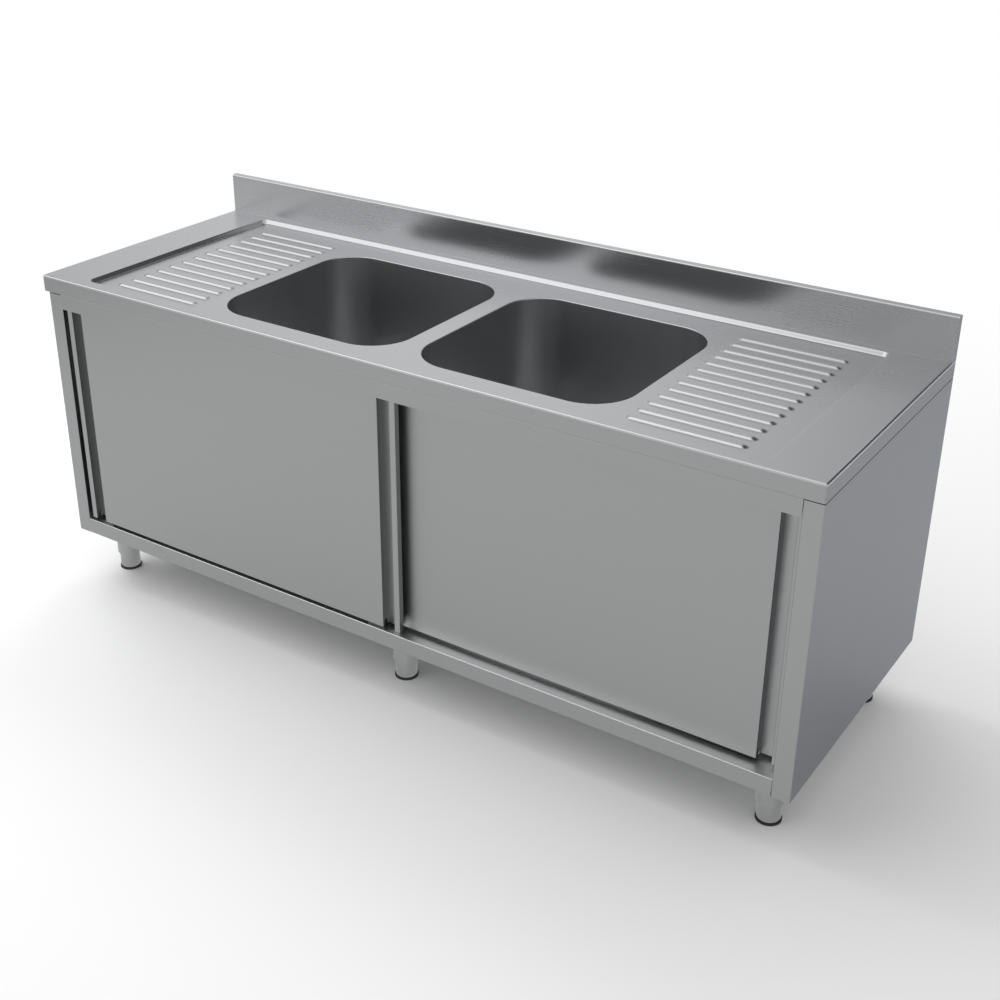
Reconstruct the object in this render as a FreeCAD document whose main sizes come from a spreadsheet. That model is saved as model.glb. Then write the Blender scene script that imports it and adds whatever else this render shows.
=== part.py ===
import FreeCAD, Part
import os

import Sketcher

# Stainless steel kitchen sink unit: a pressed worktop with two bowls, a ribbed drainer at each end
# and an upstand, on a folded sheet cabinet with two sliding doors and six adjustable feet.
# X runs to the right, Y to the rear and Z up. The origin is on the floor, under the middle of the
# worktop. All sizes are in millimetres.

SIZES = {
    # worktop
    "worktop_length": 2000.0,
    "worktop_depth": 700.0,
    "worktop_height": 820.0,
    "worktop_sheet": 1.5,
    "skirt_height": 40.0,
    "hem_width": 15.0,
    "edge_radius": 4.0,
    "upstand_height": 100.0,
    "upstand_thickness": 20.0,
    "upstand_lip": 15.0,
    # recess in the worktop
    "recess_end_margin": 120.0,
    "recess_front_margin": 27.0,
    "recess_rear_margin": 17.0,
    "recess_depth": 10.0,
    "recess_step": 12.0,
    "recess_corner": 22.0,
    # bowls, their margins taken from the edge of the recess floor
    "bowl_length": 500.0,
    "bowl_gap": 54.0,
    "bowl_front_margin": 40.0,
    "bowl_rear_margin": 72.0,
    "bowl_depth": 300.0,
    "bowl_corner": 100.0,
    "bowl_floor_radius": 40.0,
    "bowl_sheet": 1.2,
    "bowl_flange": 12.0,
    # drainer ribs, their margins taken from the edge of the recess floor
    "rib_count": 13,
    "rib_width": 20.0,
    "rib_height": 4.5,
    "rib_slope": 3.0,
    "rib_end_cut": 5.0,
    "rib_bowl_gap": 40.0,
    "rib_end_margin": 56.0,
    "rib_front_margin": 28.0,
    "rib_rear_margin": 60.0,
    # bowl wastes
    "waste_hole": 60.0,
    "waste_flange_diameter": 80.0,
    "waste_flange_thickness": 2.0,
    "waste_shank": 58.0,
    "waste_bore": 44.0,
    "waste_length": 45.0,
    "waste_outlet": 50.0,
    "waste_outlet_length": 30.0,
    "waste_ring_clearance": 0.3,
    "waste_nut_height": 12.0,
    "waste_nut_width": 4.0,
    "strainer_thickness": 2.0,
    "strainer_clearance": 0.2,
    "strainer_slot_width": 4.0,
    "strainer_slot_inner": 8.0,
    "strainer_slot_outer": 18.0,
    "strainer_slot_count": 6,
    # cabinet
    "overhang_left": 17.0,
    "overhang_right": 0.0,
    "cabinet_clearance": 130.0,
    "panel_sheet": 1.0,
    "panel_bend": 1.0,
    "post_width": 40.0,
    "post_return": 24.0,
    "flange_width": 20.0,
    "worktop_seam": 1.5,
    "frame_seam": 0.4,
    "top_rail_height": 37.0,
    "top_rail_rear_gap": 6.0,
    "top_rail_return": 20.0,
    "bottom_rail_height": 40.0,
    "bottom_rail_rear_gap": 8.5,
    "bottom_rail_return": 20.0,
    "shelf_drop": 2.0,
    "shelf_fold": 10.0,
    "cutout_length": 600.0,
    "cutout_height": 230.0,
    "cutout_base": 200.0,
    # stiffeners and foot channels
    "stiffener_sheet": 1.5,
    "stiffener_width": 60.0,
    "stiffener_flange": 15.0,
    "channel_width": 100.0,
    "channel_end_gap": 2.0,
    # feet
    "foot_setback": 92.0,
    "foot_inset": 73.0,
    "foot_plate_length": 90.0,
    "foot_plate_depth": 44.0,
    "foot_plate_thickness": 3.0,
    "sleeve_diameter": 60.0,
    "sleeve_length": 83.0,
    "leg_diameter": 51.0,
    "leg_clearance": 0.3,
    "leg_top_gap": 5.0,
    "pad_diameter": 55.0,
    "pad_height": 5.0,
    # sliding doors
    "door_overlap": 93.0,
    "door_depth": 24.0,
    "door_setback": 2.5,
    "door_clearance": 6.0,
    "door_floor_gap": 9.0,
    "door_track_gap": 3.0,
    "door_land": 15.0,
    "door_edge_return": 14.5,
    "groove_width": 32.0,
    "left_door_gap": 13.0,
    "right_door_gap": 3.0,
    # door tracks, hangers and rollers
    "track_width": 22.0,
    "track_height": 26.0,
    "track_slot": 6.0,
    "track_sheet": 1.5,
    "track_end_gap": 2.0,
    "hanger_inset": 120.0,
    "hanger_length": 40.0,
    "hanger_plate": 3.0,
    "hanger_flange": 11.0,
    "hanger_flange_thickness": 2.0,
    "hanger_head": 6.5,
    "wheel_diameter": 18.0,
    "wheel_width": 6.0,
    "wheel_side_gap": 0.5,
    "wheel_clearance": 0.3,
    "axle_diameter": 5.0,
    "axle_clearance": 0.3,
    # bottom guide
    "guide_length": 47.0,
    "guide_depth": 50.0,
    "guide_base": 8.0,
    "guide_offset": 1.0,
    "fin_thickness": 5.0,
    "fin_height": 12.0,
    "fin_inset": 2.0,
    "fin_side_gap": 1.5,
    "fin_top_gap": 4.0,
}


class Size:
    """A length: its number, and the same sum written for the sheet."""

    def __init__(self, number, text):
        self.number = number
        self.text = text

    def __add__(self, other):
        other = as_size(other)
        return Size(self.number + other.number, "(%s + %s)" % (self.text, other.text))

    def __sub__(self, other):
        other = as_size(other)
        return Size(self.number - other.number, "(%s - %s)" % (self.text, other.text))

    def __mul__(self, factor):
        return Size(self.number * factor, "(%s * %s)" % (self.text, factor))

    def __truediv__(self, divisor):
        divisor = as_size(divisor)
        return Size(self.number / divisor.number, "(%s / %s)" % (self.text, divisor.text))

    def __neg__(self):
        return Size(-self.number, "(0 - %s)" % self.text)


def as_size(value):
    """Give a plain number the form of a Size."""
    if isinstance(value, Size):
        return value
    return Size(float(value), "%s" % value)


def size(alias):
    """Look up one driving dimension."""
    return Size(float(SIZES[alias]), "Sizes." + alias)


def make_sheet(document):
    """Write the driving dimensions into the document's spreadsheet."""
    sheet = document.addObject("Spreadsheet::Sheet", "Sizes")
    for row, (alias, value) in enumerate(SIZES.items(), start=1):
        sheet.set("A%d" % row, alias)
        sheet.set("B%d" % row, str(value))
        sheet.setAlias("B%d" % row, alias)
    document.recompute()


def bind(feature, path, value):
    """Tie one property of a feature to the sheet."""
    feature.setExpression(path, as_size(value).text)


def heading(start, end):
    """Give the way from one corner to the next as signs along the two sketch axes."""
    run = end[0].number - start[0].number
    rise = end[1].number - start[1].number
    return (run > 1e-6) - (run < -1e-6), (rise > 1e-6) - (rise < -1e-6)


def moved(place, amount, signs):
    """Move a place by an amount along the two signs."""
    x, y = place
    if signs[0]:
        x = x + amount * signs[0]
    if signs[1]:
        y = y + amount * signs[1]
    return x, y


def folded(path, thickness, bend, side):
    """Give the outline of a sheet folded at right angles.

    The path is one face of the sheet. The other face lies to its left (side 1) or its right
    (side -1). Each fold has the bend radius on its inside, except that a path point with a third
    value of None stays sharp, and so does every fold where the bend is None.
    """
    ways = [heading(start, end) for start, end in zip(path, path[1:])]
    across = [(-way[1] * side, way[0] * side) for way in ways]
    near = [(path[0][0], path[0][1], None)]
    far = [moved(path[0][:2], thickness, across[0]) + (None,)]
    for index in range(1, len(path) - 1):
        before, after = ways[index - 1], ways[index]
        turn = before[0] * after[1] - before[1] * after[0]
        corner = path[index]
        both = (across[index - 1][0] + across[index][0], across[index - 1][1] + across[index][1])
        far_corner = moved(corner[:2], thickness, both)
        if bend is None or len(corner) == 3:
            radii = (None, None)
        elif turn * side > 0:
            radii = (bend + thickness, bend)
        else:
            radii = (bend, bend + thickness)
        near.append((corner[0], corner[1], radii[0]))
        far.append(far_corner + (radii[1],))
    near.append((path[-1][0], path[-1][1], None))
    far.append(moved(path[-1][:2], thickness, across[-1]) + (None,))
    return near + far[::-1]


def rectangle(x_low, x_high, y_low, y_high, radius=None):
    """Give the corners of a rectangle, anticlockwise, with an optional corner radius."""
    front_corners = [(x_low, y_low, radius), (x_high, y_low, radius)]
    return front_corners + [(x_high, y_high, radius), (x_low, y_high, radius)]


def grown(box, amount):
    """Widen (or narrow) a box of four limits on every side."""
    return box[0] - amount, box[1] + amount, box[2] - amount, box[3] + amount


def cut_corners(box, cut):
    """Give the outline of a rectangle with its four corners cut off at 45 degrees."""
    x_low, x_high, y_low, y_high = box
    return [
        (x_low + cut, y_low, None),
        (x_high - cut, y_low, None),
        (x_high, y_low + cut, None),
        (x_high, y_high - cut, None),
        (x_high - cut, y_high, None),
        (x_low + cut, y_high, None),
        (x_low, y_high - cut, None),
        (x_low, y_low + cut, None),
    ]


def draw_outline(sketch, corners):
    """Draw a closed outline, with an arc at each corner that has a radius, bound to the sheet."""
    corners = [(as_size(x), as_size(y), radius) for x, y, radius in corners]
    count = len(corners)
    ends = []
    for index, (x, y, radius) in enumerate(corners):
        if radius is None:
            ends.append(((x, y), (x, y), None, 0))
            continue
        way_in = heading(corners[index - 1], corners[index])
        way_out = heading(corners[index], corners[(index + 1) % count])
        first = moved((x, y), -radius, way_in)
        second = moved((x, y), radius, way_out)
        ends.append((first, second, radius, way_in[0] * way_out[1] - way_in[1] * way_out[0]))

    geometry = []
    joins = []
    radii = []

    def vector(place):
        return FreeCAD.Vector(place[0].number, place[1].number, 0)

    for index, (first, second, radius, turn) in enumerate(ends):
        if radius is not None:
            corner = vector(corners[index])
            middle = vector(first) + vector(second) - corner
            bisector = (corner - middle).normalize() * radius.number + middle
            arc = Part.Arc(vector(first), bisector, vector(second))
            geometry.append(arc)
            joins.append((first, second, turn > 0))
            radii.append((len(geometry) - 1, radius))
        following = ends[(index + 1) % count][0]
        if vector(second).distanceToPoint(vector(following)) > 1e-6:
            geometry.append(Part.LineSegment(vector(second), vector(following)))
            joins.append((second, following, True))
    first_line = sketch.GeometryCount
    first_rule = sketch.ConstraintCount
    sketch.addGeometry(geometry, False)

    constraints = []
    bound = []
    total = len(geometry)
    for index, (start, _, forward) in enumerate(joins):
        line = first_line + index
        point = 1 if forward else 2
        following = (index + 1) % total
        next_line = first_line + following
        next_point = 1 if joins[following][2] else 2
        constraints.append(Sketcher.Constraint("Coincident", line, 3 - point, next_line, next_point))
        for kind, value in (("DistanceX", start[0]), ("DistanceY", start[1])):
            bound.append((len(constraints), value))
            constraints.append(Sketcher.Constraint(kind, -1, 1, line, point, value.number))
    for index, radius in radii:
        bound.append((len(constraints), radius))
        constraints.append(Sketcher.Constraint("Radius", first_line + index, radius.number))
    sketch.addConstraint(constraints)
    for index, value in bound:
        bind(sketch, "Constraints[%d]" % (first_rule + index), value)


def draw_circle(sketch, x, y, diameter):
    """Draw a circle bound to the sheet."""
    x, y = as_size(x), as_size(y)
    centre = FreeCAD.Vector(x.number, y.number, 0)
    sketch.addGeometry(Part.Circle(centre, FreeCAD.Vector(0, 0, 1), diameter.number / 2), False)
    constraints = [
        Sketcher.Constraint("DistanceX", -1, 1, 0, 3, x.number),
        Sketcher.Constraint("DistanceY", -1, 1, 0, 3, y.number),
        Sketcher.Constraint("Diameter", 0, diameter.number),
    ]
    sketch.addConstraint(constraints)
    for index, value in enumerate((x, y, diameter)):
        bind(sketch, "Constraints[%d]" % index, value)


class Piece:
    """One sub-part: a body and the features that make it."""

    def __init__(self, label):
        self.label = label
        self.body = document.addObject("PartDesign::Body", label)
        self.body.Label = label
        SUB_PARTS.append(self.body)

    def origin_feature(self, role):
        """Find one of the body's own origin planes or axes."""
        return next(item for item in self.body.Origin.OriginFeatures if item.Role == role)

    def sketch(self, step, plane, level):
        """Start a sketch on an origin plane of this body, moved to a level along its normal."""
        sketch = self.body.newObject("Sketcher::SketchObject", "%s_%s_sketch" % (self.label, step))
        sketch.AttachmentSupport = (self.origin_feature(plane + "_Plane"), [""])
        sketch.MapMode = "FlatFace"
        bind(sketch, "AttachmentOffset.Base.z", level)
        return sketch

    def extrude(self, kind, step, sketch, length):
        """Pad or pocket a sketch by a length."""
        feature = self.body.newObject("PartDesign::" + kind, "%s_%s" % (self.label, step))
        feature.Profile = sketch
        feature.Type = 0
        bind(feature, "Length", length)
        self.body.Tip = feature
        return feature

    def pad(self, step, plane, low, high, corners):
        """Add material between two levels along the plane's axis."""
        low, high = as_size(low), as_size(high)
        level = -high if plane == "XZ" else low
        sketch = self.sketch(step, plane, level)
        draw_outline(sketch, corners)
        return self.extrude("Pad", step, sketch, high - low)

    def pocket(self, step, plane, low, high, corners):
        """Cut material between two levels along the plane's axis, and check that it cuts."""
        low, high = as_size(low), as_size(high)
        level = -low if plane == "XZ" else high
        sketch = self.sketch(step, plane, level)
        draw_outline(sketch, corners)
        return self.cut(step, sketch, high - low)

    def bore(self, step, plane, low, high, x, y, diameter):
        """Cut a round hole between two levels along the plane's axis."""
        low, high = as_size(low), as_size(high)
        level = -low if plane == "XZ" else high
        sketch = self.sketch(step, plane, level)
        draw_circle(sketch, x, y, diameter)
        return self.cut(step, sketch, high - low)

    def cut(self, step, sketch, length):
        """Pocket a sketch and compare the volume before and after."""
        document.recompute()
        before = self.body.Shape.Volume
        feature = self.extrude("Pocket", step, sketch, length)
        document.recompute()
        if not self.body.Shape.Volume < before:
            raise RuntimeError("%s %s cuts nothing" % (self.label, step))
        return feature

    def loft(self, kind, step, levels):
        """Join outlines at two levels along Z by a ruled loft, added or cut."""
        sketches = []
        for index, (level, corners) in enumerate(levels):
            sketch = self.sketch("%s_%d" % (step, index), "XY", level)
            draw_outline(sketch, corners)
            sketches.append(sketch)
        feature = self.body.newObject("PartDesign::%sLoft" % kind, "%s_%s" % (self.label, step))
        feature.Profile = sketches[0]
        feature.Sections = sketches[1:]
        feature.Ruled = True
        self.body.Tip = feature
        return feature

    def revolve(self, step, plane, axis, corners):
        """Turn an outline all the way round an axis of its own sketch."""
        sketch = self.sketch(step, plane, 0)
        draw_outline(sketch, corners)
        feature = self.body.newObject("PartDesign::Revolution", "%s_%s" % (self.label, step))
        feature.Profile = sketch
        feature.ReferenceAxis = (sketch, [axis])
        feature.Angle = 360.0
        self.body.Tip = feature
        return feature

    def fillet(self, step, radius, wanted):
        """Round every edge of the tip whose bounding box passes a test."""
        document.recompute()
        base = self.body.Tip
        numbered = enumerate(base.Shape.Edges, start=1)
        names = ["Edge%d" % index for index, edge in numbered if wanted(edge.BoundBox)]
        feature = self.body.newObject("PartDesign::Fillet", "%s_%s" % (self.label, step))
        feature.Base = (base, names)
        bind(feature, "Radius", radius)
        self.body.Tip = feature

    def place(self, x, y, z):
        """Put the finished body where it belongs."""
        for axis, value in (("x", x), ("y", y), ("z", z)):
            bind(self.body, "Placement.Base." + axis, value)


def near(value, target):
    """Tell whether a measured coordinate is at a size, within a hundredth."""
    return abs(value - target.number) < 0.01


def join_copies(label, pieces):
    """Put repeated pieces of one kind, each its own solid, into one sub-part."""
    group = document.addObject("Part::Compound", label)
    group.Label = label
    group.Links = [piece.body for piece in pieces]
    for piece in pieces:
        SUB_PARTS.remove(piece.body)
    SUB_PARTS.append(group)


document = FreeCAD.newDocument("kitchen_sink_unit")
SUB_PARTS = []
make_sheet(document)

# Levels and planes that several sub-parts share.
worktop_end = size("worktop_length") / 2
front = -(size("worktop_depth") / 2)
rear = size("worktop_depth") / 2
worktop_top = size("worktop_height")
skirt_base = worktop_top - size("skirt_height")
upstand_face = rear - size("upstand_thickness")
upstand_top = worktop_top + size("upstand_height")
worktop_sheet = size("worktop_sheet")

recess_box = (
    -(worktop_end - size("recess_end_margin")),
    worktop_end - size("recess_end_margin"),
    front + size("recess_front_margin"),
    upstand_face - size("recess_rear_margin"),
)
recess_floor_box = grown(recess_box, -size("recess_step"))
recess_floor_corner = size("recess_corner") - size("recess_step")
recess_floor = worktop_top - size("recess_depth")
recess_underside = recess_floor - worktop_sheet

bowl_front = recess_floor_box[2] + size("bowl_front_margin")
bowl_rear = recess_floor_box[3] - size("bowl_rear_margin")
bowl_inner_edge = size("bowl_gap") / 2
bowl_outer_edge = bowl_inner_edge + size("bowl_length")
bowl_floor = recess_floor - size("bowl_depth")
bowl_sheet = size("bowl_sheet")
bowl_middle_x = bowl_inner_edge + size("bowl_length") / 2
bowl_middle_y = (bowl_front + bowl_rear) / 2
# Half way round a bend of radius 1 the sheet is this far from both of the planes that it joins.
BEND_KNEE = 0.293

panel = size("panel_sheet")
panel_bend = size("panel_bend")
cabinet_left = -worktop_end + size("overhang_left")
cabinet_right = worktop_end - size("overhang_right")
cabinet_base = size("cabinet_clearance")
cabinet_top = skirt_base
opening_left = cabinet_left + size("post_width")
opening_right = cabinet_right - size("post_width")
back_outer = rear - panel
back_inner = back_outer - panel

front_door_face = front + size("door_setback")
rear_door_face = front_door_face + size("door_depth") + size("door_clearance")
groove_depth = size("door_depth") - panel
bottom_rail_top = cabinet_base + size("bottom_rail_height")
bottom_rail_rear = rear_door_face + size("door_depth") + size("bottom_rail_rear_gap")
shelf_top = bottom_rail_top - size("shelf_drop")
shelf_underside = shelf_top - panel
track_top = cabinet_top - panel
track_base = track_top - size("track_height")
door_base = bottom_rail_top + size("door_floor_gap")
door_top = track_base - size("door_track_gap")
door_width = (
    opening_right - opening_left + size("door_overlap") - size("left_door_gap") - size("right_door_gap")
) / 2
axle_height = (
    track_base + size("track_sheet") + size("wheel_clearance") + size("wheel_diameter") / 2
)


def door_left_edge(side):
    """Give the left edge of the door on one side, closed."""
    if side == "left":
        return opening_left + size("left_door_gap")
    return opening_right - size("right_door_gap") - door_width


def door_face(side):
    """Give the face plane of a door: the left door runs in the front track."""
    return front_door_face if side == "left" else rear_door_face


def door_middle(side):
    """Give the middle plane of a door, where its track, hangers and guide fin are."""
    return door_face(side) + size("door_depth") / 2


def bowl_box(side):
    """Give the limits of a bowl's mouth, for side -1 (left) or 1 (right)."""
    if side < 0:
        return -bowl_outer_edge, -bowl_inner_edge, bowl_front, bowl_rear
    return bowl_inner_edge, bowl_outer_edge, bowl_front, bowl_rear


def rib_box(side):
    """Give the limits of the frontmost drainer rib on one side."""
    start = bowl_outer_edge + size("rib_bowl_gap")
    end = recess_floor_box[1] - size("rib_end_margin")
    rib_front = recess_floor_box[2] + size("rib_front_margin")
    rib_rear = rib_front + size("rib_width")
    if side < 0:
        return -end, -start, rib_front, rib_rear
    return start, end, rib_front, rib_rear


def make_worktop():
    """Fold the worktop with its skirt, hem and upstand, then press the recess and the ribs."""
    piece = Piece("worktop")
    section = [
        (front + size("hem_width"), skirt_base),
        (front, skirt_base, None),
        (front, worktop_top, None),
        (upstand_face, worktop_top, None),
        (upstand_face, upstand_top),
        (rear, upstand_top),
        (rear, upstand_top - size("upstand_lip")),
    ]
    bend = size("edge_radius") - worktop_sheet
    piece.pad("section", "YZ", -worktop_end, worktop_end, folded(section, worktop_sheet, bend, -1))

    for name, sign in (("left", -1), ("right", 1)):
        end = worktop_end * sign
        skirt = [
            (end - size("hem_width") * sign, skirt_base),
            (end, skirt_base, None),
            (end, worktop_top),
        ]
        piece.pad(name + "_skirt", "XZ", front, rear, folded(skirt, worktop_sheet, bend, sign))
        inner = end - worktop_sheet * sign
        low, high = (end, inner) if sign < 0 else (inner, end)
        closer = rectangle(upstand_face, rear, worktop_top - worktop_sheet, upstand_top - size("edge_radius"))
        piece.pad(name + "_closer", "YZ", low, high, closer)

    def outer_edge(box):
        """Pick the top edges of the front and the ends and the upright front corners."""
        at_top = near(box.ZMin, worktop_top) and near(box.ZMax, worktop_top)
        at_front = near(box.YMin, front) and near(box.YMax, front)
        at_left = near(box.XMin, -worktop_end) and near(box.XMax, -worktop_end)
        at_right = near(box.XMin, worktop_end) and near(box.XMax, worktop_end)
        return (at_top and (at_front or at_left or at_right)) or (at_front and (at_left or at_right))

    piece.fillet("edge_bend", size("edge_radius"), outer_edge)

    def inner_edge(box):
        """Pick the matching edges on the inside of the sheet."""
        at_top = near(box.ZMin, worktop_top - worktop_sheet) and near(box.ZMax, worktop_top - worktop_sheet)
        inside_front = front + worktop_sheet
        inside_end = worktop_end - worktop_sheet
        at_front = near(box.YMin, inside_front) and near(box.YMax, inside_front)
        at_left = near(box.XMin, -inside_end) and near(box.XMax, -inside_end)
        at_right = near(box.XMin, inside_end) and near(box.XMax, inside_end)
        return at_top and (at_front or at_left or at_right)

    piece.fillet("inner_bend", bend, inner_edge)

    top_outline = rectangle(*recess_box, size("recess_corner"))
    floor_outline = rectangle(*recess_floor_box, recess_floor_corner)
    under_levels = [(worktop_top - worktop_sheet, top_outline), (recess_underside, floor_outline)]
    piece.loft("Additive", "recess_underside", under_levels)
    piece.loft("Subtractive", "recess", [(worktop_top, top_outline), (recess_floor, floor_outline)])

    field_depth = recess_floor_box[3] - recess_floor_box[2] - size("rib_front_margin")
    pattern_length = field_depth - size("rib_rear_margin") - size("rib_width")
    rib_top = recess_floor + size("rib_height")
    for name, sign in (("left", -1), ("right", 1)):
        foot = cut_corners(rib_box(sign), size("rib_end_cut"))
        crest = cut_corners(grown(rib_box(sign), -size("rib_slope")), size("rib_end_cut"))
        rib = piece.loft("Additive", name + "_rib", [(recess_floor, foot), (rib_top, crest)])
        document.recompute()
        pattern = piece.body.newObject("PartDesign::LinearPattern", "worktop_%s_ribs" % name)
        pattern.Originals = [rib]
        pattern.Direction = (piece.origin_feature("Y_Axis"), [""])
        bind(pattern, "Length", pattern_length)
        bind(pattern, "Occurrences", size("rib_count"))
        piece.body.Tip = pattern

    for name, sign in (("left", -1), ("right", 1)):
        outline = rectangle(*bowl_box(sign), size("bowl_corner"))
        piece.pocket(name + "_bowl_hole", "XY", recess_underside, recess_floor, outline)


def bowl_levels(box, corner, radius, floor):
    """Give the outlines of a bowl at its mouth and down the two flats that turn it into its floor."""
    knee = radius * BEND_KNEE
    return [
        (recess_underside, rectangle(*box, corner)),
        (floor + radius, rectangle(*box, corner)),
        (floor + knee, rectangle(*grown(box, -knee), corner - knee)),
        (floor, rectangle(*grown(box, -radius), corner - radius)),
    ]


def make_bowl(name, sign):
    """Press one bowl: round corners, a rounded floor and a flange that seats under the worktop."""
    piece = Piece("bowl_" + name)
    box = bowl_box(sign)
    corner = size("bowl_corner")
    radius = size("bowl_floor_radius")
    outer_base = bowl_floor - bowl_sheet
    shell = bowl_levels(grown(box, bowl_sheet), corner + bowl_sheet, radius + bowl_sheet, outer_base)
    piece.loft("Additive", "shell", shell)
    piece.loft("Subtractive", "hollow", bowl_levels(box, corner, radius, bowl_floor))

    flange_base = recess_underside - bowl_sheet
    flange = rectangle(*grown(box, size("bowl_flange")), corner + size("bowl_flange"))
    sketch = piece.sketch("flange", "XY", flange_base)
    draw_outline(sketch, flange)
    draw_outline(sketch, rectangle(*box, corner))
    piece.extrude("Pad", "flange", sketch, bowl_sheet)
    middle_x = bowl_middle_x * sign
    piece.bore("waste_hole", "XY", outer_base, bowl_floor, middle_x, bowl_middle_y, size("waste_hole"))


def make_waste_body(name, middle_x):
    """Turn the flanged body of one waste, whose outlet below the shank takes the pipe."""
    piece = Piece("waste_body_" + name)
    flange = size("waste_flange_diameter") / 2
    shank = size("waste_shank") / 2
    bore = size("waste_bore") / 2
    outlet = size("waste_outlet") / 2
    shoulder = -size("waste_length")
    base = shoulder - size("waste_outlet_length")
    seat = as_size(0)
    profile = [
        (bore, base, None),
        (outlet, base, None),
        (outlet, shoulder, None),
        (shank, shoulder, None),
        (shank, seat, None),
        (flange, seat, None),
        (flange, size("waste_flange_thickness"), None),
        (bore, size("waste_flange_thickness"), None),
    ]
    piece.revolve("body", "XZ", "V_Axis", profile)
    piece.place(middle_x, bowl_middle_y, bowl_floor)
    return piece


def make_waste_strainer(name, middle_x):
    """Make the slotted plate that closes the mouth of one waste."""
    piece = Piece("waste_strainer_" + name)
    plate = size("waste_bore") / 2 - size("strainer_clearance")
    thickness = size("strainer_thickness")
    seat = as_size(0)
    piece.revolve("plate", "XZ", "V_Axis", rectangle(seat, plate, -thickness, seat))
    half = size("strainer_slot_width") / 2
    outline = rectangle(size("strainer_slot_inner"), size("strainer_slot_outer"), -half, half)
    slot = piece.pocket("slot", "XY", -thickness, seat, outline)
    ring = piece.body.newObject("PartDesign::PolarPattern", "waste_strainer_%s_slots" % name)
    ring.Originals = [slot]
    ring.Axis = (piece.origin_feature("Z_Axis"), [""])
    ring.Angle = 360.0
    bind(ring, "Occurrences", size("strainer_slot_count"))
    piece.body.Tip = ring
    piece.place(middle_x, bowl_middle_y, bowl_floor)
    return piece


def make_waste_nut(name, middle_x):
    """Turn the ring nut that clamps one waste from below."""
    piece = Piece("waste_nut_" + name)
    inner = size("waste_shank") / 2 + size("waste_ring_clearance")
    outer = size("waste_flange_diameter") / 2 + size("waste_nut_width")
    top = -bowl_sheet
    piece.revolve("ring", "XZ", "V_Axis", rectangle(inner, outer, top - size("waste_nut_height"), top))
    piece.place(middle_x, bowl_middle_y, bowl_floor)
    return piece


def make_side(name, outer, sign):
    """Fold one side panel, with its front post in one piece."""
    piece = Piece("side_" + name)
    flange = size("flange_width")
    panel_top = cabinet_top - size("worktop_seam")
    plan = [
        (outer - flange * sign, rear),
        (outer, rear, None),
        (outer, front),
        (outer - size("post_width") * sign, front),
        (outer - size("post_width") * sign, front + size("post_return")),
    ]
    piece.pad("plan", "XY", cabinet_base, panel_top, folded(plan, panel, panel_bend, -sign))
    # The flat top and bottom flanges end short of the back panel.
    flange_end = back_outer - flange - panel
    inner = outer - flange * sign
    low, high = (inner, outer) if sign > 0 else (outer, inner)
    edge = panel + panel_bend
    if sign > 0:
        plate = rectangle(low, high - edge / 2, front + edge, flange_end)
    else:
        plate = rectangle(low + edge / 2, high, front + edge, flange_end)
    piece.pad("bottom_flange", "XY", cabinet_base, cabinet_base + panel, plate)
    piece.pad("top_flange", "XY", panel_top - panel, panel_top, plate)


def make_back():
    """Fold the back panel and cut its service opening."""
    piece = Piece("back_panel")
    flange = size("flange_width")
    section = [
        (back_outer - flange, cabinet_base),
        (back_outer, cabinet_base),
        (back_outer, cabinet_top),
        (back_outer - flange, cabinet_top),
    ]
    piece.pad("section", "YZ", cabinet_left + panel, cabinet_right - panel, folded(section, panel, None, 1))
    middle = (cabinet_left + cabinet_right) / 2
    half = size("cutout_length") / 2
    cutout_base = cabinet_base + size("cutout_base")
    cutout = rectangle(middle - half, middle + half, cutout_base, cutout_base + size("cutout_height"))
    piece.pocket("service_opening", "XZ", back_inner, back_outer, cutout)


def make_rails():
    """Fold the two front rails, which fit between the posts."""
    low = opening_left + size("frame_seam")
    high = opening_right - size("frame_seam")
    top = Piece("top_rail")
    top_rear = door_middle("right") + size("track_width") / 2 + size("top_rail_rear_gap")
    section = [
        (front, cabinet_top - size("top_rail_height")),
        (front, cabinet_top),
        (top_rear, cabinet_top, None),
        (top_rear, cabinet_top - size("top_rail_return")),
    ]
    top.pad("section", "YZ", low, high, folded(section, panel, panel_bend, -1))

    bottom = Piece("bottom_rail")
    section = [
        (front + size("bottom_rail_return"), cabinet_base),
        (front, cabinet_base),
        (front, bottom_rail_top),
        (bottom_rail_rear, bottom_rail_top, None),
        (bottom_rail_rear, bottom_rail_top - size("bottom_rail_return")),
    ]
    bottom.pad("section", "YZ", low, high, folded(section, panel, panel_bend, -1))


def make_shelf():
    """Fold the bottom shelf down on all four edges."""
    piece = Piece("bottom_shelf")
    fold_base = shelf_top - size("shelf_fold")
    low = cabinet_left + panel
    high = cabinet_right - panel
    section = [
        (bottom_rail_rear, fold_base),
        (bottom_rail_rear, shelf_top),
        (back_inner, shelf_top),
        (back_inner, fold_base),
    ]
    piece.pad("section", "YZ", low, high, folded(section, panel, None, -1))
    fold = rectangle(bottom_rail_rear, back_inner, fold_base, shelf_top)
    piece.pad("left_fold", "YZ", low, low + panel, fold)
    piece.pad("right_fold", "YZ", high - panel, high, fold)


def make_stiffener(name, sign):
    """Fold a hat section that carries one drainer, from the front rail to the back panel."""
    piece = Piece("worktop_stiffener_" + name)
    box = rib_box(sign)
    middle = (box[0] + box[1]) / 2
    half = size("stiffener_width") / 2
    flange = size("stiffener_flange")
    sheet = size("stiffener_sheet")
    section = [
        (middle - half - flange, cabinet_top + sheet),
        (middle - half, cabinet_top + sheet),
        (middle - half, recess_underside),
        (middle + half, recess_underside),
        (middle + half, cabinet_top + sheet),
        (middle + half + flange, cabinet_top + sheet),
    ]
    start = front + size("hem_width") + size("channel_end_gap")
    piece.pad("section", "XZ", start, back_outer, folded(section, sheet, None, -1))


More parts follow.
